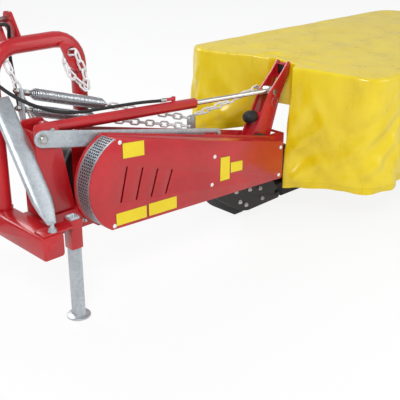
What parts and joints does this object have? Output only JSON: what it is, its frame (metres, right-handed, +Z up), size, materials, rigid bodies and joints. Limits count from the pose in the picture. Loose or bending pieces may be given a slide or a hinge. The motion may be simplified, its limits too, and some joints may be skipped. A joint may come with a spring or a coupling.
{
  "type": "disc mower",
  "caption": "Rear-mounted disc mower with a headstock arch, side-mounted belt drive, float springs, a hydraulic lift arm and a tarpaulin-covered cutter bar.",
  "frame": {"origin": "middle of the underside of the parking stand's foot, on the ground", "axes": "+X along the cutter bar towards its outer end, +Y towards the tractor and the hitch, +Z up"},
  "size_m": [3.9978, 1.06, 1.2509],
  "materials": {
    "red_paint": "glossy red enamel, slightly orange-peeled",
    "galvanised_steel": "hot-dip galvanised, dull and mottled",
    "zinc_plating": "bright zinc plating",
    "black_paint": "semi-gloss black paint",
    "black_rubber": "black rubber, matt",
    "black_plastic": "black moulded plastic",
    "cast_iron": "black-painted cast iron",
    "chrome_rod": "hard-chromed rod",
    "brushed_steel": "bare machined steel",
    "yellow_tarpaulin": "glossy yellow coated tarpaulin"
  },
  "bodies": {
    "machine": {"arch_brace": "galvanised_steel", "base_frame": "red_paint", "belt_guard": "red_paint", "carrier_frame": "red_paint", "chain_gusset": "zinc_plating", "chain_headstock": "zinc_plating", "chain_lower": "zinc_plating", "chain_post": "galvanised_steel", "chain_upper": "zinc_plating", "coupler_valve": "zinc_plating", "cylinder_base_pin": "zinc_plating", "drive_bearing": "black_paint", "drive_cover": "red_paint", "guard_strip": "galvanised_steel", "headstock_arch": "red_paint", "hitch_pin_left": "zinc_plating", "hitch_pin_right": "zinc_plating", "hose_valve": "black_rubber", "limit_bar": "galvanised_steel", "limit_bolt": "zinc_plating", "pivot_drum": "black_paint", "pto_shield": "black_plastic", "spring_bar": "galvanised_steel", "spring_lower": "galvanised_steel", "spring_upper": "galvanised_steel", "stand_pin": "zinc_plating", "stand_sleeve": "red_paint", "top_link_pin": "zinc_plating", "tower": "red_paint", "valve_block": "brushed_steel"},
    "mower": {"lift_arm": "red_paint", "rubber_buffer": "black_rubber", "eye_pin_near": "zinc_plating", "eye_pin_far": "zinc_plating", "cover_frame": "red_paint", "tube_plug": "black_plastic", "cover": "yellow_tarpaulin", "cutter_bar": "black_paint", "inner_shoe": "black_paint", "outer_shoe": "black_paint", "bevel_gearbox": "cast_iron", "hanger_plate": "black_paint", "chain_arm": "zinc_plating"},
    "lift_barrel": {"cylinder_barrel": "red_paint", "hose_lift": "black_rubber", "coupler_lift": "zinc_plating"},
    "lift_rod": {"cylinder_rod": "chrome_rod"},
    "stand": {"stand_leg": "galvanised_steel"},
    "input_shaft": {"pto_shaft": "brushed_steel"},
    "cutting_disc_1": {"disc_1": "black_paint"},
    "cutting_disc_2": {"disc_2": "black_paint"},
    "cutting_disc_3": {"disc_3": "black_paint"},
    "cutting_disc_4": {"disc_4": "black_paint"},
    "cutting_disc_5": {"disc_5": "black_paint"}
  },
  "joints": [
    {"name": "stand_height", "type": "slide", "parent": "machine", "child": "stand", "axis": [0, 0, 1], "range_m": [0, 0.24]},
    {"name": "lift", "type": "hinge", "parent": "machine", "child": "mower", "pos_m": [1.24, 0.18, 0.385], "axis": [0, -1, 0], "range_deg": [-15, 80]},
    {"name": "cylinder_swing", "type": "hinge", "parent": "machine", "child": "lift_barrel", "pos_m": [0.02, 0.18, 0.8], "axis": [0, -1, 0], "range_deg": [-8.42, 1.59]},
    {"name": "cylinder_stroke", "type": "slide", "parent": "lift_barrel", "child": "lift_rod", "axis": [0.998, 0, -0.0634], "range_m": [-0.4258, 0.0801]},
    {"name": "input_shaft_spin", "type": "hinge", "parent": "machine", "child": "input_shaft", "pos_m": [0.324, 0.42, 0.527], "axis": [0, 1, 0], "continuous": true},
    {"name": "disc_1_spin", "type": "hinge", "parent": "mower", "child": "cutting_disc_1", "pos_m": [1.76, 0.4, 0.12], "axis": [0, 0, 1], "continuous": true},
    {"name": "disc_2_spin", "type": "hinge", "parent": "mower", "child": "cutting_disc_2", "pos_m": [2.13, 0.4, 0.12], "axis": [0, 0, 1], "continuous": true},
    {"name": "disc_3_spin", "type": "hinge", "parent": "mower", "child": "cutting_disc_3", "pos_m": [2.5, 0.4, 0.12], "axis": [0, 0, 1], "continuous": true},
    {"name": "disc_4_spin", "type": "hinge", "parent": "mower", "child": "cutting_disc_4", "pos_m": [2.87, 0.4, 0.12], "axis": [0, 0, 1], "continuous": true},
    {"name": "disc_5_spin", "type": "hinge", "parent": "mower", "child": "cutting_disc_5", "pos_m": [3.24, 0.4, 0.12], "axis": [0, 0, 1], "continuous": true}
  ],
  "couplings": [
    {"joint": "cylinder_swing", "follows": "lift", "ratio": -0.105},
    {"joint": "cylinder_stroke", "follows": "lift", "m_per_rad": -0.3047},
    {"joint": "disc_1_spin", "follows": "input_shaft_spin", "ratio": 5.5},
    {"joint": "disc_2_spin", "follows": "input_shaft_spin", "ratio": -5.5},
    {"joint": "disc_3_spin", "follows": "input_shaft_spin", "ratio": 5.5},
    {"joint": "disc_4_spin", "follows": "input_shaft_spin", "ratio": -5.5},
    {"joint": "disc_5_spin", "follows": "input_shaft_spin", "ratio": 5.5}
  ]
}
